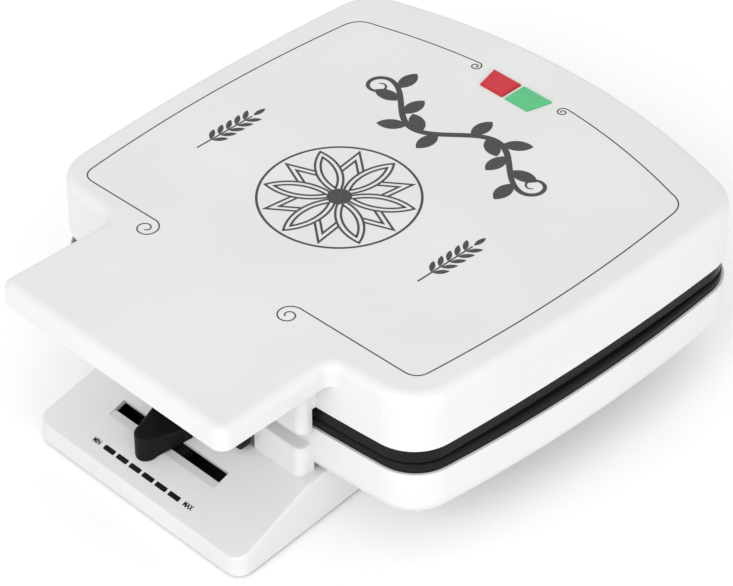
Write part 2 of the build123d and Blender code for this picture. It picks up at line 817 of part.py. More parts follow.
def make_lamp(side):
    rear = body_rear - lens_rear_from_rear
    z = top_height - wall - lens_flange_thickness - lamp_length
    x = lens_centre_x + side * (lens_half_gap + lens_front_width / 2)
    dome = z + lamp_length - lamp_radius - lamp_top_gap
    bulb = rod(x, rear - lens_depth / 2, z, dome, lamp_radius)
    return bulb + Pos(x, rear - lens_depth / 2, dome) * Sphere(lamp_radius)


def make_thermostat():
    top = lower_plate_bottom - shield_depth
    bottom = top - thermostat_height
    body = block(shaft_x - thermostat_width / 2, shaft_x + thermostat_width / 2,
                 shaft_y - thermostat_depth / 2, shaft_y + thermostat_depth / 2, bottom, top)
    body = fillet(body.edges().filter_by(Axis.Z), thermostat_corner_radius)
    half = thermostat_width / 2 + thermostat_tab_length
    tab_z = bottom + thermostat_tab_height
    body += block(shaft_x - half, shaft_x + half, shaft_y - thermostat_tab_half_width,
                  shaft_y + thermostat_tab_half_width, tab_z, tab_z + thermostat_tab_thickness)
    bore_top = bottom + thermostat_bore_depth
    return body - rod(shaft_x, shaft_y, bottom, bore_top, shaft_radius + running_clearance)


def make_thermostat_shaft():
    bottom = lower_plate_bottom - shield_depth - thermostat_height
    top = bottom + thermostat_bore_depth - shaft_end_gap
    return rod(shaft_x, shaft_y, lever_z - lever_thickness, top, shaft_radius)


def lever_rest_turn():
    return math.degrees((slider_x - shaft_x) * lever_turn_per_mm)


def make_thermostat_lever():
    """Slotted lever on the shaft, pointing to the slider's pin."""
    arm = Pos(0, -lever_slot_end / 2, 0) * Box(2 * lever_half_width, lever_slot_end, lever_thickness)
    arm += Cylinder(lever_eye_radius, lever_thickness)
    arm += Pos(0, -lever_slot_end, 0) * Cylinder(lever_half_width, lever_thickness)
    middle = (lever_slot_start + lever_slot_end) / 2
    arm -= Pos(0, -middle, 0) * Rot(0, 0, 90) * extrude(
        SlotOverall(lever_slot_end - lever_slot_start + 2 * lever_slot_half_width, 2 * lever_slot_half_width),
        lever_thickness, both=True)
    arm += Pos(0, 0, lever_thickness) * Cylinder(lever_collar_radius, lever_thickness)
    arm -= Cylinder(shaft_radius, 6 * lever_thickness)
    return Pos(shaft_x, shaft_y, lever_z) * Rot(0, 0, lever_rest_turn()) * arm


def knob_stem():
    """Square stem of the knob through the slot, long enough to sit in the runner."""
    return on_panel(slider_x, slot_y) * Pos(0, 0, (knob_gap - pedestal_wall - guide_gap) / 2) * Box(
        2 * stem_half_width, slot_width - 2 * stem_gap, knob_gap + pedestal_wall + guide_gap + 2 * stem_bite)


def make_knob():
    """Wedge-shaped slider knob with a rounded nose that points at the scale."""
    nose_y = slot_y - knob_nose_ahead
    rear = slot_y + knob_rear_behind
    plan = Pos(slider_x, nose_y) * Circle(knob_nose_radius)
    plan += Polygon((slider_x - knob_nose_radius, nose_y), (slider_x + knob_nose_radius, nose_y),
                    (slider_x + knob_rear_half_width, rear), (slider_x - knob_rear_half_width, rear),
                    align=None)
    body = slab(plan, 0, knob_top)
    side = Polygon((pedestal_front, 0), (pedestal_front, pedestal_lip + knob_gap),
                   (panel_rear, base_top + knob_gap), (panel_rear, 0), align=None)
    body -= extrude(Plane.YZ * side, body_half_width, both=True)
    body = fillet(body.faces().sort_by(Axis.Z)[-1].edges(), knob_edge_radius)
    return body + knob_stem()


def make_slider_carriage():
    """Runner under the panel that carries the knob's stem and the lever's pin."""
    top = -pedestal_wall - guide_gap
    runner = Pos(0, 0, top - carriage_thickness / 2) * Box(
        2 * carriage_half_width, guide_width - 2 * guide_wall - 2 * guide_gap, carriage_thickness)
    runner = on_panel(slider_x, slot_y) * runner
    pin_top = panel_height(slot_y) - pedestal_wall - carriage_thickness
    return runner - knob_stem() + rod(slider_x, slot_y, slider_pin_bottom, pin_top, slider_pin_radius)


def make_slider_guide():
    """Black channel under the slot that holds the runner against the panel."""
    depth = guide_gap * 2 + carriage_thickness + guide_wall
    outer = Pos(0, 0, -pedestal_wall - depth / 2) * Box(guide_length, guide_width, depth)
    inner = Pos(0, 0, -pedestal_wall - (depth - guide_wall) / 2) * Box(
        guide_length - 2 * guide_wall, guide_width - 2 * guide_wall, depth - guide_wall)
    slot = Pos(0, 0, -pedestal_wall - depth) * Box(
        guide_length - 4 * guide_wall, guide_width - 4 * guide_wall, depth)
    return on_panel(slot_centre_x, slot_y) * (outer - inner - slot)


def make_hinge_pin(x):
    half = upper_knuckle_width / 2 + ear_gap + ear_width
    pin = cross_rod(x - half, x + half, hinge_y, hinge_height, hinge_pin_radius)
    for side in (-1, 1):
        pin += cross_rod(*sorted((x + side * half, x + side * (half + hinge_pin_head))),
                         hinge_y, hinge_height, hinge_pin_head_radius)
    return pin


def make_cord_gland():
    """Rubber bushing where the mains cord enters, its outer end outside the rear wall."""
    def disc(y0, y1, radius):
        return Pos(0, (y0 + y1) / 2, gland_height) * Rot(90, 0, 0) * Cylinder(radius, y1 - y0)

    inner = body_rear - wall - gland_flange_gap - gland_flange_thickness
    outer = body_rear + gland_proud
    body = disc(inner, outer, gland_radius - gland_gap)
    body += disc(inner, inner + gland_flange_thickness, gland_flange_radius)
    body += disc(body_rear + gland_flange_gap, outer - gland_tip, gland_flange_radius)
    return body - disc(inner, outer, gland_bore_radius)


def make_cord_clamp():
    """Bar on two posts that presses the cord down on the floor."""
    y = body_rear - clamp_from_rear
    bar = block(-clamp_half_length, clamp_half_length, y - clamp_width / 2, y + clamp_width / 2,
                lower_floor + clamp_height, lower_floor + clamp_height + clamp_thickness)
    for side in (-1, 1):
        bar += rod(side * clamp_post_x, y, lower_floor, lower_floor + clamp_height, clamp_post_radius)
    return bar


def make_terminal_block():
    y = body_rear - terminal_block_from_rear
    body = block(terminal_block_x, terminal_block_x + terminal_block_length,
                 y - terminal_block_width / 2, y + terminal_block_width / 2,
                 lower_floor, lower_floor + terminal_block_height)
    pitch = terminal_block_length / terminal_count
    for index in range(terminal_count):
        x = terminal_block_x + (index + 0.5) * pitch
        top = lower_floor + terminal_block_height
        body -= rod(x, y, top - terminal_screw_well_depth, top, terminal_screw_well_radius)
        body -= Pos(x, y, lower_floor + terminal_wire_height) * Rot(90, 0, 0) * Cylinder(
            terminal_wire_bore_radius, terminal_block_width)
    return body


def make_thermal_fuse():
    """Cylindrical cut-out clipped to the back of the lower shield."""
    z = lower_plate_bottom - shield_depth - fuse_radius
    y = shaft_y + thermostat_depth
    return (cross_rod(-fuse_half_length, fuse_half_length, y, z, fuse_radius)
            + cross_rod(-fuse_lead_half_length, fuse_lead_half_length, y, z, fuse_lead_radius))


def make_screws(places, seat, length, up):
    """One screw per place, all heads on the same seat."""
    return Compound(children=[screw(x, y, seat, length, up) for x, y in places])


def main():
    os.makedirs("parts", exist_ok=True)
    nodes = {
        "upper_housing": make_upper_housing(),
        "handle_cover": make_handle_cover(),
        "upper_frame": make_upper_frame(),
        "lower_frame": make_lower_frame(),
        "upper_plate": make_plate(upper_plate_bottom, upper_plate_top, upper_plate_bottom, -1),
        "lower_plate": make_plate(lower_plate_bottom, lower_plate_top, lower_plate_top, 1),
        "upper_heater": make_heater(upper_plate_top + heater_radius),
        "lower_heater": make_heater(lower_plate_bottom - heater_radius),
        "upper_heat_shield": make_shield(upper_plate_top, 1),
        "lower_heat_shield": make_shield(lower_plate_bottom, -1),
        "lower_housing": make_lower_housing(),
        "pedestal": make_pedestal(),
        "bottom_cover": make_bottom_cover(),
        "latch": make_latch(),
        "latch_pin": make_latch_pin(),
        "red_lens": make_lens(-1),
        "green_lens": make_lens(1),
        "lamp_board": make_lamp_board(),
        "red_lamp": make_lamp(-1),
        "green_lamp": make_lamp(1),
        "thermostat": make_thermostat(),
        "thermostat_shaft": make_thermostat_shaft(),
        "thermostat_lever": make_thermostat_lever(),
        "slider_knob": make_knob(),
        "slider_carriage": make_slider_carriage(),
        "slider_guide": make_slider_guide(),
        "left_hinge_pin": make_hinge_pin(-hinge_centre_x),
        "right_hinge_pin": make_hinge_pin(hinge_centre_x),
        "cord_gland": make_cord_gland(),
        "cord_clamp": make_cord_clamp(),
        "terminal_block": make_terminal_block(),
        "thermal_fuse": make_thermal_fuse(),
        "upper_frame_screws": make_screws(
            screw_places(), upper_frame_bottom + frame_head_depth, frame_screw_length, 1),
        "lower_frame_screws": make_screws(
            screw_places(), lower_frame_top - frame_head_depth, frame_screw_length, -1),
        "upper_plate_screws": make_screws(
            plate_screw_places(), upper_plate_top + frame_ledge_thickness, plate_screw_length, -1),
        "lower_plate_screws": make_screws(
            plate_screw_places(), lower_plate_bottom - frame_ledge_thickness, plate_screw_length, 1),
        "handle_screws": make_screws(
            handle_screw_places(), handle_underside + screw_head_height, handle_screw_length, 1),
        "pedestal_screws": make_screws(
            pedestal_screw_places(), base_top - pedestal_wall, pedestal_screw_length, 1),
        "cover_screws": make_screws(
            cover_screw_places(), foot_height + cover_head_depth, cover_screw_length, 1),
    }
    for name, x, y in foot_places():
        nodes[name] = make_foot(x, y)
    for name, shape in nodes.items():
        export_step(shape, "parts/" + name + ".step")


main()
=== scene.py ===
import math

import bpy
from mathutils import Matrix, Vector


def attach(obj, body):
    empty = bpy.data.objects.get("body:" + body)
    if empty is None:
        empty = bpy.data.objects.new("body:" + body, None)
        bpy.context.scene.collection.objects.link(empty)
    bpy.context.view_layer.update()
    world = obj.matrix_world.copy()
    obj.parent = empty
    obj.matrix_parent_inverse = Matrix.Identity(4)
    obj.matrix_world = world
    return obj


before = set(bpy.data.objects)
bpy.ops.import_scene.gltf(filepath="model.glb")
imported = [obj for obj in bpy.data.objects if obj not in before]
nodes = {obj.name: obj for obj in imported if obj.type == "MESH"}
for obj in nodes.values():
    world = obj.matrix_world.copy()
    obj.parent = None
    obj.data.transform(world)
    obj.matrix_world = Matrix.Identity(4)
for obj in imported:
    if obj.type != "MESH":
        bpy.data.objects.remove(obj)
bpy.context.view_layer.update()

print("frame loaded:", len(nodes), "nodes")

camera = dict(place=(0.7947, -0.78705, 0.9506), target=(-0.0343, 0.03704, 0.0),
              focalPixels=3200.0, photoWidth=733, sensorWidth=36.0, near=0.05, far=20.0)


def facing(place, target):
    # the turn of a camera or light at place that looks at target
    return (Vector(target) - Vector(place)).to_track_quat("-Z", "Y").to_euler()


def makeCamera():
    data = bpy.data.cameras.new("photoCamera")
    data.sensor_fit = "HORIZONTAL"
    data.sensor_width = camera["sensorWidth"]
    data.lens = camera["focalPixels"] * camera["sensorWidth"] / camera["photoWidth"]
    data.clip_start, data.clip_end = camera["near"], camera["far"]
    view = bpy.data.objects.new("photoCamera", data)
    bpy.context.collection.objects.link(view)
    view.location = camera["place"]
    view.rotation_euler = facing(camera["place"], camera["target"])
    bpy.context.scene.camera = view


makeCamera()
print("camera set")


def startMaterial(name):
    material = bpy.data.materials.new(name)
    material.use_nodes = True
    return material, material.node_tree, material.node_tree.nodes["Principled BSDF"]


def setInputs(node, values):
    for key, value in values.items():
        node.inputs[key].default_value = value


def addNode(tree, kind, inputs=None, **settings):
    node = tree.nodes.new(kind)
    for key, value in settings.items():
        setattr(node, key, value)
    setInputs(node, inputs or {})
    return node


def objectNoise(tree, scale, detail=3.0, roughness=0.5, stretch=(1, 1, 1)):
    place = addNode(tree, "ShaderNodeTexCoord")
    mapping = addNode(tree, "ShaderNodeMapping", {"Scale": stretch})
    noise = addNode(tree, "ShaderNodeTexNoise",
                    {"Scale": scale, "Detail": detail, "Roughness": roughness})
    tree.links.new(place.outputs["Object"], mapping.inputs["Vector"])
    tree.links.new(mapping.outputs["Vector"], noise.inputs["Vector"])
    return noise.outputs["Fac"]


def colourBlend(tree, shader, factor, dark, light, low=0.35, high=0.65):
    ramp = addNode(tree, "ShaderNodeValToRGB")
    first, second = ramp.color_ramp.elements
    first.position, second.position = low, high
    first.color, second.color = (*dark, 1), (*light, 1)
    tree.links.new(factor, ramp.inputs["Fac"])
    tree.links.new(ramp.outputs["Color"], shader.inputs["Base Color"])


def glossRange(tree, shader, factor, low, high, noiseLow=0.3, noiseHigh=0.7):
    # the middle of the noise is spread over the two roughness values
    spread = addNode(tree, "ShaderNodeMapRange", {
        "From Min": noiseLow, "From Max": noiseHigh, "To Min": low, "To Max": high})
    tree.links.new(factor, spread.inputs["Value"])
    tree.links.new(spread.outputs["Result"], shader.inputs["Roughness"])


def addBump(tree, shader, heights, strength, depth):
    normal = None
    for height, share in heights:
        bump = addNode(tree, "ShaderNodeBump", {"Strength": strength * share, "Distance": depth})
        tree.links.new(height, bump.inputs["Height"])
        if normal:
            tree.links.new(normal, bump.inputs["Normal"])
        normal = bump.outputs["Normal"]
    tree.links.new(normal, shader.inputs["Normal"])


plasticSurface = dict(flow=dict(scale=14, detail=4.0), flowShare=0.4, grainDetail=2.0,
                      handling=dict(scale=60, detail=5.0, roughness=0.6), depth=0.0002)
finishes = dict(
    shell=dict(light=(0.700, 0.700, 0.694), dark=(0.672, 0.672, 0.666), gloss=(0.30, 0.40),
               grain=0.05),
    seal=dict(light=(0.013, 0.013, 0.014), dark=(0.008, 0.008, 0.009), gloss=(0.22, 0.30),
              grain=0.05, specular=0.06),
    knob=dict(light=(0.010, 0.010, 0.011), dark=(0.006, 0.006, 0.007), gloss=(0.30, 0.38),
              grain=0.08, specular=0.07),
    rubber=dict(light=(0.020, 0.020, 0.020), dark=(0.012, 0.012, 0.012), gloss=(0.68, 0.8),
                grain=0.25, grainScale=900),
    ivory=dict(light=(0.72, 0.67, 0.56), dark=(0.64, 0.58, 0.47), gloss=(0.4, 0.5), grain=0.1),
    cover=dict(light=(0.030, 0.030, 0.032), dark=(0.020, 0.020, 0.021), gloss=(0.5, 0.62),
               grain=0.3, grainScale=1200),
)


def mouldedPlastic(name, light, dark, gloss, grain, grainScale=1800, specular=0.5):
    material, tree, shader = startMaterial(name)
    flow = objectNoise(tree, **plasticSurface["flow"])
    speckle = objectNoise(tree, grainScale, plasticSurface["grainDetail"])
    handling = objectNoise(tree, **plasticSurface["handling"])
    colourBlend(tree, shader, flow, dark, light)
    glossRange(tree, shader, handling, *gloss)
    heights = [(flow, plasticSurface["flowShare"]), (speckle, 1.0)]
    addBump(tree, shader, heights, grain, plasticSurface["depth"])
    setInputs(shader, {"Specular IOR Level": specular})
    return material


plastic = {name: mouldedPlastic(name + "Plastic", **values) for name, values in finishes.items()}

metalSurface = dict(streaks=dict(scale=220, detail=6.0, roughness=0.6),
                    cloud=dict(scale=18, detail=3.0), scratches=0.12, depth=0.0001)
metals = dict(
    screwSteel=dict(light=(0.62, 0.62, 0.63), dark=(0.50, 0.50, 0.51), gloss=(0.24, 0.38),
                    stretch=(1, 1, 1)),
    sheetAluminium=dict(light=(0.80, 0.81, 0.82), dark=(0.70, 0.71, 0.72), gloss=(0.28, 0.42),
                        stretch=(1, 14, 14)),
    heaterSteel=dict(light=(0.30, 0.27, 0.25), dark=(0.20, 0.18, 0.17), gloss=(0.42, 0.6),
                     stretch=(6, 6, 1)),
)


def brushedMetal(name, light, dark, gloss, stretch):
    material, tree, shader = startMaterial(name)
    streaks = objectNoise(tree, stretch=stretch, **metalSurface["streaks"])
    cloud = objectNoise(tree, **metalSurface["cloud"])
    colourBlend(tree, shader, cloud, dark, light)
    glossRange(tree, shader, streaks, *gloss)
    addBump(tree, shader, [(streaks, 1.0)], metalSurface["scratches"], metalSurface["depth"])
    setInputs(shader, {"Metallic": 1.0})
    return material


metal = {name: brushedMetal(name, **values) for name, values in metals.items()}

plateFinish = dict(speckle=dict(scale=1400, detail=3.0, roughness=0.7),
                   cloud=dict(scale=26, detail=4.0), cloudShare=0.5,
                   dark=(0.050, 0.048, 0.047), light=(0.068, 0.066, 0.064), gloss=(0.34, 0.50),
                   grain=0.22, depth=0.0002, shading={"Metallic": 0.55})


def makePlateCoating():
    values = plateFinish
    material, tree, shader = startMaterial("plateCoating")
    speckle = objectNoise(tree, **values["speckle"])
    cloud = objectNoise(tree, **values["cloud"])
    colourBlend(tree, shader, cloud, values["dark"], values["light"])
    glossRange(tree, shader, speckle, *values["gloss"])
    heights = [(cloud, values["cloudShare"]), (speckle, 1.0)]
    addBump(tree, shader, heights, values["grain"], values["depth"])
    setInputs(shader, values["shading"])
    return material


lensFinish = dict(ribScale=380.0, ribShare=0.5, cloud=dict(scale=240, detail=3.0),
                  low=0.3, high=0.7, grain=0.08, depth=0.0002,
                  shading={"Roughness": 0.16, "IOR": 1.49, "Specular IOR Level": 0.3,
                           "Transmission Weight": 0.1})
lensColours = dict(        # deep and bright
    redLensPlastic=((0.55, 0.014, 0.026), (0.61, 0.021, 0.037)),
    greenLensPlastic=((0.085, 0.50, 0.200), (0.103, 0.55, 0.230)),
)


def makeLens(name):
    values = lensFinish
    deep, bright = lensColours[name]
    material, tree, shader = startMaterial(name)
    place = addNode(tree, "ShaderNodeTexCoord")
    ribs = addNode(tree, "ShaderNodeTexWave", {"Scale": values["ribScale"], "Distortion": 0.0},
                   wave_type="BANDS", bands_direction="X")
    tree.links.new(place.outputs["Object"], ribs.inputs["Vector"])
    cloud = objectNoise(tree, **values["cloud"])
    colourBlend(tree, shader, cloud, deep, bright, values["low"], values["high"])
    heights = [(ribs.outputs["Fac"], values["ribShare"]), (cloud, 1.0)]
    addBump(tree, shader, heights, values["grain"], values["depth"])
    setInputs(shader, values["shading"])
    return material


lampFinish = dict(wisps=dict(scale=500, detail=2.0), dark=(0.9, 0.82, 0.72),
                  light=(0.98, 0.94, 0.88), grain=0.05, depth=0.0002,
                  shading={"Roughness": 0.05, "Transmission Weight": 0.9})


def makeLampGlass():
    values = lampFinish
    material, tree, shader = startMaterial("lampGlass")
    wisps = objectNoise(tree, **values["wisps"])
    colourBlend(tree, shader, wisps, values["dark"], values["light"])
    addBump(tree, shader, [(wisps, 1.0)], values["grain"], values["depth"])
    setInputs(shader, values["shading"])
    return material


boardFinish = dict(noise=dict(scale=420, detail=5.0, roughness=0.6, stretch=(1, 5, 1)),
                   dark=(0.30, 0.21, 0.11), light=(0.40, 0.30, 0.17), gloss=(0.5, 0.65),
                   grain=0.2, depth=0.0002)
inkFinish = dict(noise=dict(scale=900, detail=4.0, roughness=0.65), gloss=(0.42, 0.58),
                 grain=0.06, depth=0.0001, shading={"Specular IOR Level": 0.08})
lidInk = dict(dark=(0.058, 0.058, 0.057), light=(0.080, 0.080, 0.078))
panelInk = dict(dark=(0.005, 0.005, 0.005), light=(0.009, 0.009, 0.009))


def oneNoiseFinish(name, noise, dark, light, gloss, grain, depth, shading=None):
    # colour, gloss and relief all follow one noise
    material, tree, shader = startMaterial(name)
    factor = objectNoise(tree, **noise)
    colourBlend(tree, shader, factor, dark, light)
    glossRange(tree, shader, factor, *gloss)
    addBump(tree, shader, [(factor, 1.0)], grain, depth)
    setInputs(shader, shading or {})
    return material


plateCoating = makePlateCoating()
redLens = makeLens("redLensPlastic")
greenLens = makeLens("greenLensPlastic")
lampGlass = makeLampGlass()
resinBoard = oneNoiseFinish("resinBoard", **boardFinish)
printInk = oneNoiseFinish("printInk", **lidInk, **inkFinish)
scaleInk = oneNoiseFinish("scaleInk", **panelInk, **inkFinish)

nodeFinish = {
    "shell": ["upper_housing", "lower_housing", "pedestal", "handle_cover"],
    "seal": ["upper_frame", "lower_frame", "latch", "slider_guide"],
    "knob": ["slider_knob", "slider_carriage", "cord_clamp"],
    "rubber": ["cord_gland", "front_left_foot", "front_right_foot", "rear_left_foot",
               "rear_right_foot"],
    "ivory": ["thermostat", "terminal_block"],
    "cover": ["bottom_cover"],
}
metalFinish = {
    "screwSteel": ["latch_pin", "thermostat_shaft", "thermostat_lever", "left_hinge_pin",
                   "right_hinge_pin", "thermal_fuse", "upper_frame_screws",
                   "lower_frame_screws", "upper_plate_screws", "lower_plate_screws",
                   "handle_screws", "pedestal_screws", "cover_screws"],
    "sheetAluminium": ["upper_heat_shield", "lower_heat_shield"],
    "heaterSteel": ["upper_heater", "lower_heater"],
}
dress = {node: plastic[name] for name, names in nodeFinish.items() for node in names}
dress.update({node: metal[name] for name, names in metalFinish.items() for node in names})
dress.update(upper_plate=plateCoating, lower_plate=plateCoating, red_lens=redLens,
             green_lens=greenLens, red_lamp=lampGlass, green_lamp=lampGlass,
             lamp_board=resinBoard)
for name, thing in nodes.items():
    for slot in thing.material_slots:
        slot.material = dress[name]
print("materials dressed:", len(dress), "nodes")

millimetre = 0.001        # the dictionaries of the pieces below are in millimetres


def selectOnly(thing):
    bpy.ops.object.select_all(action="DESELECT")
    thing.select_set(True)
    bpy.context.view_layer.objects.active = thing


def applyPlace(thing, place, turn=(0, 0, 0)):
    thing.location = [c * millimetre for c in place]
    thing.rotation_euler = turn
    selectOnly(thing)
    bpy.ops.object.transform_apply(location=True, rotation=True, scale=True)


def setMaterial(piece, material):
    piece.data.materials.clear()
    piece.data.materials.append(material)


def outwardFaces(thing, mergeDistance=0.000002):
    selectOnly(thing)
    bpy.ops.object.mode_set(mode="EDIT")
    bpy.ops.mesh.select_all(action="SELECT")
    bpy.ops.mesh.remove_doubles(threshold=mergeDistance)
    bpy.ops.mesh.normals_make_consistent(inside=False)
    bpy.ops.object.mode_set(mode="OBJECT")


def thickened(shape, thickness):
    # a flat sheet at Z = 0 becomes a closed solid that stands on Z = 0
    selectOnly(shape)
    for face in shape.data.polygons:
        face.select = face.normal.z < 0
    bpy.ops.object.mode_set(mode="EDIT")
    bpy.ops.mesh.select_mode(type="FACE")
    bpy.ops.mesh.flip_normals()
    bpy.ops.object.mode_set(mode="OBJECT")
    wall = shape.modifiers.new("thickness", "SOLIDIFY")
    wall.thickness, wall.offset = thickness * millimetre, 1.0
    bpy.ops.object.modifier_apply(modifier="thickness")
    return shape


def startOutline(name, points, fill):
    # a circle with one corner for each point, drawn out to the points
    bpy.ops.object.select_all(action="DESELECT")
    bpy.ops.mesh.primitive_circle_add(vertices=len(points), radius=millimetre, fill_type=fill)
    shape = bpy.context.object
    shape.name = name
    for corner, (x, y) in zip(shape.data.vertices, points):
        corner.co = (x * millimetre, y * millimetre, 0)
    return shape


def filledShape(name, loop, thickness):
    shape = startOutline(name, loop, "NGON")
    shape.data.update()
    return thickened(shape, thickness)


def lineShape(name, points, width, thickness, closed=False, taper=None):
    # the left edge of the line is laid down first, then extruded across to the right edge
    count = len(points)
    halves = [width / 2 * (1.0 if taper is None else taper(i / (count - 1))) for i in range(count)]
    left = besideLine(points, halves, closed)
    right = besideLine(points, [-half for half in halves], closed)
    shape = startOutline(name, left, "NOTHING")
    bpy.ops.object.mode_set(mode="EDIT")
    bpy.ops.mesh.select_mode(type="EDGE")
    bpy.ops.mesh.select_all(action="DESELECT")
    bpy.ops.object.mode_set(mode="OBJECT")
    if not closed:
        for edge in shape.data.edges:
            edge.select = set(edge.vertices) == {0, count - 1}
        bpy.ops.object.mode_set(mode="EDIT")
        bpy.ops.mesh.delete(type="EDGE")
        bpy.ops.object.mode_set(mode="OBJECT")
    bpy.ops.object.mode_set(mode="EDIT")
    bpy.ops.mesh.select_all(action="SELECT")
    bpy.ops.mesh.extrude_edges_move()
    bpy.ops.object.mode_set(mode="OBJECT")
    corners = shape.data.vertices
    for corner in corners:
        if corner.index >= count:
            nearest = min(range(count), key=lambda i: (corners[i].co - corner.co).length)
            corner.co = (right[nearest][0] * millimetre, right[nearest][1] * millimetre, 0)
    shape.data.update()
    return thickened(shape, thickness)


def joinShapes(name, shapes):
    bpy.ops.object.select_all(action="DESELECT")
    for shape in shapes:
        shape.select_set(True)
    bpy.context.view_layer.objects.active = shapes[0]
    bpy.ops.object.join()
    whole = bpy.context.object
    whole.name = name
    return whole


def besideLine(points, distances, closed=False, longestTip=3.0, sharpest=0.2):
    # the same line, drawn to its left, each point at its own distance
    count = len(points)
    moved = []
    for i, (x, y) in enumerate(points):
        before = points[i - 1] if closed or i > 0 else None
        after = points[(i + 1) % count] if closed or i < count - 1 else None
        ways = [Vector((x - before[0], y - before[1])).normalized()] if before else []
        ways += [Vector((after[0] - x, after[1] - y)).normalized()] if after else []
        way = sum(ways, Vector((0, 0))).normalized()
        # sharp tips keep the line's full width
        reach = min(longestTip, 1 / max(sharpest, way.dot(ways[0])))
        moved.append((x - way.y * distances[i] * reach, y + way.x * distances[i] * reach))
    return moved


def turned(points, angle, middle):
    c, s = math.cos(angle), math.sin(angle)
    return [(middle[0] + x * c - y * s, middle[1] + x * s + y * c) for x, y in points]


def circlePoints(radius, sides):
    angles = [2 * math.pi * i / sides for i in range(sides)]
    return [(radius * math.cos(angle), radius * math.sin(angle)) for angle in angles]


def leafEdge(leaf, inset=0.0):
    # a leaf pointed at both ends and drawn in by inset: its middle and half its length,
    # the radius of its two sides, and how far their centres lie beyond its middle line
    half = (leaf["tip"] - leaf["root"]) / 2
    arc = (half ** 2 + leaf["halfWidth"] ** 2) / (2 * leaf["halfWidth"])
    offset = arc - leaf["halfWidth"]
    middle = (leaf["root"] + leaf["tip"]) / 2
    return middle, math.sqrt((arc - inset) ** 2 - offset ** 2), arc - inset, offset


def leafPoints(leaf, inset=0.0):
    middle, half, arc, offset = leafEdge(leaf, inset)
    along = [-half * math.cos(math.pi * i / leaf["steps"]) for i in range(leaf["steps"] + 1)]
    side = [(middle + x, math.sqrt(max(0.0, arc ** 2 - x ** 2)) - offset) for x in along]
    side[0], side[-1] = (middle - half, 0), (middle + half, 0)
    return side + [(x, -y) for x, y in side[-2:0:-1]]


lidPrint = dict(level=93.5, ink=0.06, centreX=-9.0)        # lid top, ink thickness, middle line
ringPrint = dict(centreY=-5.0, radius=36.6, line=1.15, sides=144)
ringMiddle = (lidPrint["centreX"], ringPrint["centreY"])


def makeRing():
    line = turned(circlePoints(ringPrint["radius"], ringPrint["sides"]), 0, ringMiddle)
    return lineShape("ringPrint", line, ringPrint["line"], lidPrint["ink"], True)


# inner is how far a leaf's inner line lies inside its outer one; the inks are in lid inks
rosettePrint = dict(petals=6, firstAngle=30, line=1.05, inner=2.5,
                    leaf=dict(root=2.0, tip=34.2, halfWidth=5.7, steps=20),
                    rearTip=33.8, rearAngle=22.5, rearStep=0.1, hub=5.7, hubSides=48,
                    leafInk=1.3, leafInkStep=0.1, hubInk=1.7)


def rearPoint(tip):
    # a point behind the leaves: from its tip down both sides to the edge of the next leaf
    values = rosettePrint
    middle, _, arc, offset = leafEdge(values["leaf"])
    lean = math.pi / values["petals"]
    slope = math.tan(math.radians(values["rearAngle"]))
    x = tip
    while True:
        x -= values["rearStep"]
        y = (tip - x) * slope
        along = x * math.cos(lean) + y * math.sin(lean)
        across = x * math.sin(lean) - y * math.cos(lean)
        if abs(across) < math.sqrt(arc ** 2 - (along - middle) ** 2) - offset:
            return [(x, y), (tip, 0), (x, -y)]


def makeRosette():
    # rear points lowest, then the leaves by turns at two heights, then the hub, so that no
    # two faces that cross lie in one plane
    values = rosettePrint
    tipShift = values["inner"] / math.sin(math.radians(values["rearAngle"]))
    ink = lidPrint["ink"]
    shapes = []
    for index in range(values["petals"]):
        angle = math.radians(values["firstAngle"] + index * 360 / values["petals"])
        rear = angle + math.pi / values["petals"]
        leafInk = ink * (values["leafInk"] + values["leafInkStep"] * (index % 2))
        for inset in (0.0, values["inner"]):
            leaf = turned(leafPoints(values["leaf"], inset), angle, ringMiddle)
            shapes.append(lineShape("leaf", leaf, values["line"], leafInk, True))
        for tip in (values["rearTip"], values["rearTip"] - tipShift):
            point = turned(rearPoint(tip), rear, ringMiddle)
            shapes.append(lineShape("rearPoint", point, values["line"], ink))
    hub = turned(circlePoints(values["hub"], values["hubSides"]), 0, ringMiddle)
    shapes.append(filledShape("hub", hub, ink * values["hubInk"]))
    return joinShapes("rosettePrint", shapes)


# the bends and the side's tilt are what they come to at bendAt
borderPrint = dict(line=0.65, bendAt=100, sideX=106.2, sideBend=6.8, sideTilt=2.8,
                   sideMiddle=37.0, frontY=-72.2, frontTilt=0.03, rearY=115.3, rearBend=17.1,
                   frontCornerX=102.0, rearCornerX=98.0, frontRound=7.0, rearRound=9.0,
                   frontHalfGap=43.5, rearHalfGap=26.6, frontCurl=6.6, rearCurl=3.2,
                   curlTurns=1.45, curlLeft=0.2, curlFade=0.75,
                   bendSteps=14, frontSteps=12, sideSteps=24, rearSteps=16)


def curlPoints(radius):
    # a shrinking turn that starts at the line's end and is drawn towards -X
    values = borderPrint
    count = int(values["bendSteps"] * 4 * values["curlTurns"])
    points = []
    for i in range(1, count + 1):
        share = i / count
        r = radius * (1 - (1 - values["curlLeft"]) * share ** values["curlFade"])
        angle = math.pi / 2 + 2 * math.pi * values["curlTurns"] * share
        points.append((r * math.cos(angle), r * math.sin(angle) - radius))
    return points


def between(a, b, count):
    return [a + (b - a) * i / count for i in range(count + 1)]


def roundedCorner(a, bend, b):
    return [tuple((1 - t) ** 2 * p + 2 * t * (1 - t) * q + t * t * r
                  for p, q, r in zip(a, bend, b))
            for t in between(0, 1, borderPrint["bendSteps"])]


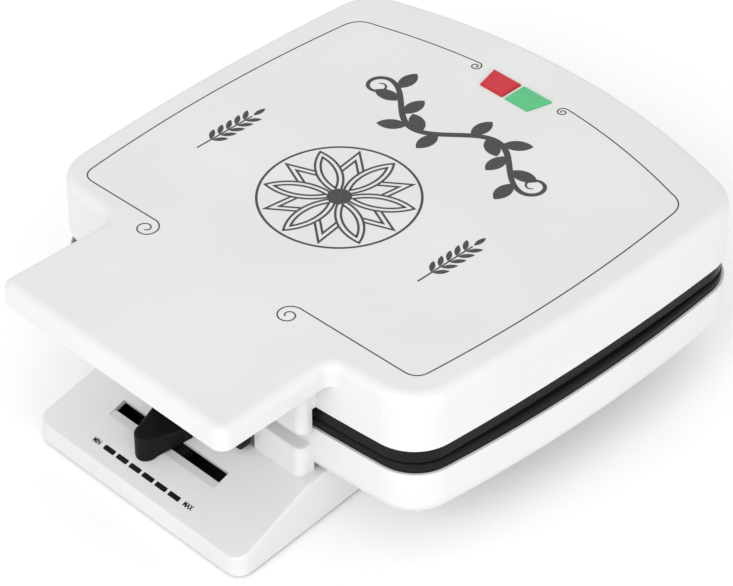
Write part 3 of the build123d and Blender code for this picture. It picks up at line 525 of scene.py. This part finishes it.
def borderSide(side):
    # one half of the border, from the front curl round two corners to the rear curl
    values = borderPrint

    def sideAt(y):
        far = (y - values["sideMiddle"]) / values["bendAt"]
        return values["sideX"] - values["sideTilt"] * far - values["sideBend"] * far ** 2

    def frontAt(x):
        return values["frontY"] + values["frontTilt"] * x * side

    def rearAt(x):
        return values["rearY"] - values["rearBend"] * (x / values["bendAt"]) ** 2

    frontStart = values["frontHalfGap"] + side * lidPrint["centreX"]
    rearStart = values["rearHalfGap"] + side * lidPrint["centreX"]
    frontY, rearY = frontAt(values["frontCornerX"]), rearAt(values["rearCornerX"])
    frontCorner, rearCorner = (sideAt(frontY), frontY), (sideAt(rearY), rearY)
    frontTurn, rearTurn = values["frontRound"], values["rearRound"]
    frontEnd, rearEnd = frontCorner[0] - frontTurn, rearCorner[0] - rearTurn
    sideStart, sideEnd = frontCorner[1] + frontTurn, rearCorner[1] - rearTurn
    frontCurl = curlPoints(values["frontCurl"])[::-1]
    points = [(frontStart + x, frontAt(frontStart) + y) for x, y in frontCurl]
    points += [(x, frontAt(x)) for x in between(frontStart, frontEnd, values["frontSteps"])[:-1]]
    points += roundedCorner((frontEnd, frontAt(frontEnd)), frontCorner,
                            (sideAt(sideStart), sideStart))
    points += [(sideAt(y), y) for y in between(sideStart, sideEnd, values["sideSteps"])[1:-1]]
    points += roundedCorner((sideAt(sideEnd), sideEnd), rearCorner, (rearEnd, rearAt(rearEnd)))
    points += [(x, rearAt(x)) for x in between(rearEnd, rearStart, values["rearSteps"])[1:]]
    rearCurl = curlPoints(values["rearCurl"])
    points += [(rearStart + x, rearAt(rearStart) + y) for x, y in rearCurl]
    return [(side * x, y) for x, y in points]


def makeBorder():
    shapes = [lineShape("borderSide", borderSide(side), borderPrint["line"], lidPrint["ink"])
              for side in (-1, 1)]
    return joinShapes("borderPrint", shapes)


# each leaf is given as its place along the stem and its side
flourishPrint = dict(middle=(-5.0, 64.0), width=3.2, penEnd=0.15, wave=34.0, waves=1.5,
                     rise=10.0, curl=7.0, curlTurns=1.15, curlShrink=0.75, steps=56,
                     leaves=((5.5, 1), (12.0, -1), (20.0, 1), (28.0, -1), (36.0, 1), (43.5, -1)),
                     leaf=dict(root=0.4, tip=14.5, halfWidth=3.7, steps=14), leafLean=52.0,
                     leafInk=1.4, slopeReach=0.5)


def penTaper(share):
    # thin at both ends, as a pen draws it
    thin = flourishPrint["penEnd"]
    return thin + (1 - thin) * math.sin(math.pi * share)


def makeFlourish():
    # a waved stem with a curl at each end and leaves by turns on its two sides
    values = flourishPrint
    leaf = leafPoints(values["leaf"])
    reach = values["wave"] * values["waves"]

    def stemAt(x):
        return values["rise"] * math.sin(math.pi * x / values["wave"])

    along = [reach * i / values["steps"] for i in range(values["steps"] + 1)]
    points = [(x, stemAt(x)) for x in along]
    lowest = stemAt(reach)
    for i in range(1, values["steps"] + 1):
        share = i / values["steps"]
        r = values["curl"] * (1 - values["curlShrink"] * share)
        angle = -math.pi / 2 + 2 * math.pi * values["curlTurns"] * share
        points.append((reach + r * math.cos(angle),
                       lowest + values["curl"] + r * math.sin(angle)))
    stem = [(-x, -y) for x, y in points[:0:-1]] + points
    shapes = [lineShape("stem", stem, values["width"], lidPrint["ink"], taper=penTaper)]
    near = values["slopeReach"]
    for turn in (0, math.pi):
        for x, side in values["leaves"]:
            slope = math.atan2(stemAt(x + near) - stemAt(x - near), 2 * near)
            lean = slope + side * math.radians(values["leafLean"])
            loop = turned(turned(leaf, lean, (x, stemAt(x))), turn, (0, 0))
            shapes.append(filledShape("leaf", loop, lidPrint["ink"] * values["leafInk"]))
    flourish = joinShapes("flourishPrint", shapes)
    applyPlace(flourish, (*values["middle"], 0))
    return flourish


sprigPrint = dict(places=((-80.0, -8.0), (57.0, -6.0)), stem=34.0, line=0.8, rows=6,
                  spacing=5.2, spread=36.0, grainInk=1.5,
                  grain=dict(root=0.9, tip=8.3, halfWidth=1.3, steps=10))


def makeSprig(index, place):
    # one ear of wheat: a stem, pairs of grains and a grain at the top
    values = sprigPrint
    grain = leafPoints(values["grain"])
    top = values["stem"] / 2
    shapes = [lineShape("stem", [(0, -top), (0, 0), (0, top)], values["line"], lidPrint["ink"])]
    for row in range(values["rows"]):
        for side in ((0,) if row == 0 else (-1, 1)):
            angle = math.radians(90 + side * values["spread"])
            loop = turned(grain, angle, (0, top - row * values["spacing"]))
            shapes.append(filledShape("grain", loop, lidPrint["ink"] * values["grainInk"]))
    sprig = joinShapes("sprigPrint%d" % index, shapes)
    applyPlace(sprig, (*place, 0))
    return sprig


def printOnLid(piece):
    outwardFaces(piece)
    applyPlace(piece, (0, 0, lidPrint["level"]))
    setMaterial(piece, printInk)
    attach(piece, "lid")


lidPrints = [makeRing(), makeRosette(), makeBorder(), makeFlourish()]
lidPrints += [makeSprig(index, place) for index, place in enumerate(sprigPrint["places"])]
for piece in lidPrints:
    printOnLid(piece)
print("lid prints ready:", len(lidPrints))

# the panel's rise and run give its slope, and row is how far up it from its middle the marks lie
scalePrint = dict(rise=14.5, run=44.5, middle=(-5.0, -112.25, 19.635), row=-19.9, ink=0.06,
                  count=6, first=-19.6, pitch=8.41, length=6.8, width=2.45, corner=0.5,
                  words=(("MIN", -27.9), ("MAX", 31.2)), wordHeight=2.35, sizePerHeight=1.42,
                  wordNarrow=0.75, bold=0.12)


def roundedBar(length, width, corner, steps=5):
    points = []
    for quarter, (sx, sy) in enumerate(((1, 1), (-1, 1), (-1, -1), (1, -1))):
        for i in range(steps + 1):
            angle = math.pi / 2 * (quarter + i / steps)
            points.append((sx * (length / 2 - corner) + corner * math.cos(angle),
                           sy * (width / 2 - corner) + corner * math.sin(angle)))
    return points


def makeWord(word, x):
    # drawn as if millimetres were metres, and brought down once it is a mesh
    values = scalePrint
    bpy.ops.object.select_all(action="DESELECT")
    bpy.ops.object.text_add()
    letters = bpy.context.object
    letters.data.body = word
    letters.data.align_x, letters.data.align_y = "CENTER", "CENTER"
    letters.data.size = values["wordHeight"] * values["sizePerHeight"]
    letters.data.extrude = values["ink"] / 2
    letters.data.offset = values["bold"]
    selectOnly(letters)
    bpy.ops.object.convert(target="MESH")
    letters = bpy.context.object
    letters.scale = (values["wordNarrow"] * millimetre, millimetre, millimetre)
    applyPlace(letters, (x, 0, values["ink"] / 2))
    return letters


def makeScale():
    values = scalePrint
    bar = roundedBar(values["length"], values["width"], values["corner"])
    shapes = []
    for index in range(values["count"]):
        middle = (values["first"] + index * values["pitch"], 0)
        shapes.append(filledShape("dash", turned(bar, 0, middle), values["ink"]))
    shapes += [makeWord(word, x) for word, x in values["words"]]
    scale = joinShapes("scalePrint", shapes)
    applyPlace(scale, (0, values["row"], 0))
    outwardFaces(scale)
    applyPlace(scale, values["middle"], (math.atan2(values["rise"], values["run"]), 0, 0))
    setMaterial(scale, scaleInk)
    return scale


scaleMarks = makeScale()
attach(scaleMarks, "base")
print("heat scale ready")

# floors and pitches are those of the plates' wells, and bow is the depth of a bow of the chain
wellRelief = dict(pitchX=100.0, middleY=25.25, pitchY=97.0, lowerFloor=53.1, upperFloor=57.6,
                  height=0.8, line=1.1, leaves=8, bows=16, bow=3.4, bowRadius=39.0, bowSteps=10,
                  leaf=dict(root=13.0, tip=34.0, halfWidth=5.2, steps=14),
                  bevel=0.15, bevelAngle=60)


def makeWellRelief():
    # raised leaves between the plate's ribs and a chain of bows round them
    values = wellRelief
    leaf = leafPoints(values["leaf"])
    shapes = []
    for index in range(values["leaves"]):
        loop = turned(leaf, 2 * math.pi * (index + 0.5) / values["leaves"], (0, 0))
        shapes.append(lineShape("leaf", loop, values["line"], values["height"], True))
    chain = []
    count = values["bows"] * values["bowSteps"]
    for index in range(count):
        angle = 2 * math.pi * index / count
        dip = 1 - abs(math.sin(angle * values["bows"] / 2))
        radius = values["bowRadius"] - values["bow"] * dip
        chain.append((radius * math.cos(angle), radius * math.sin(angle)))
    shapes.append(lineShape("chain", chain, values["line"], values["height"], True))
    relief = joinShapes("wellRelief", shapes)
    outwardFaces(relief)
    bevel = relief.modifiers.new("softEdges", "BEVEL")
    bevel.width, bevel.segments = values["bevel"] * millimetre, 1
    bevel.limit_method, bevel.angle_limit = "ANGLE", math.radians(values["bevelAngle"])
    selectOnly(relief)
    bpy.ops.object.modifier_apply(modifier="softEdges")
    setMaterial(relief, plateCoating)
    return relief


def placeReliefs():
    # one copy in each well: on the lower floors, and hanging from the upper ones
    values = wellRelief
    pattern = makeWellRelief()
    halfX, halfY = values["pitchX"] / 2, values["pitchY"] / 2
    count = 0
    for body, level in (("base", values["lowerFloor"]),
                        ("lid", values["upperFloor"] - values["height"])):
        for sx in (-1, 1):
            for sy in (-1, 1):
                copy = pattern.copy()
                copy.data = pattern.data.copy()
                count += 1
                copy.name = copy.data.name = "wellRelief%d" % count
                bpy.context.collection.objects.link(copy)
                applyPlace(copy, (sx * halfX, values["middleY"] + sy * halfY, level))
                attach(copy, body)
    bpy.data.objects.remove(pattern)
    return count


print("well reliefs ready:", placeReliefs())

studio = dict(floorSize=6.0, floorCloud=dict(scale=3, detail=2.0),
              floorDark=(0.955, 0.955, 0.955), floorLight=(0.965, 0.965, 0.965),
              floorRoughness=0.9, world=0.95, aim=(0, 0, 0.05),
              lights=dict(keyLight=dict(place=(0.5, -2.0, 1.4), size=1.2, power=18.0),
                          sideLight=dict(place=(2.3, -0.7, 0.55), size=1.4, power=15.0)))


def makeFloor():
    bpy.ops.object.select_all(action="DESELECT")
    bpy.ops.mesh.primitive_plane_add(size=studio["floorSize"], location=(0, 0, 0))
    floor = bpy.context.object
    floor.name = "studioFloor"
    material, tree, shader = startMaterial("paleFloor")
    cloud = objectNoise(tree, **studio["floorCloud"])
    colourBlend(tree, shader, cloud, studio["floorDark"], studio["floorLight"])
    setInputs(shader, {"Roughness": studio["floorRoughness"]})
    floor.data.materials.append(material)


def makeLights():
    world = bpy.data.worlds.new("studioWorld")
    world.use_nodes = True
    setInputs(world.node_tree.nodes["Background"],
              {"Color": (1, 1, 1, 1), "Strength": studio["world"]})
    bpy.context.scene.world = world
    bpy.context.scene.view_settings.view_transform = "Standard"
    for name, values in studio["lights"].items():
        data = bpy.data.lights.new(name, "AREA")
        data.shape, data.size, data.energy = "SQUARE", values["size"], values["power"]
        light = bpy.data.objects.new(name, data)
        bpy.context.collection.objects.link(light)
        light.location = values["place"]
        light.rotation_euler = facing(values["place"], studio["aim"])


makeFloor()
makeLights()
print("floor and lights ready")
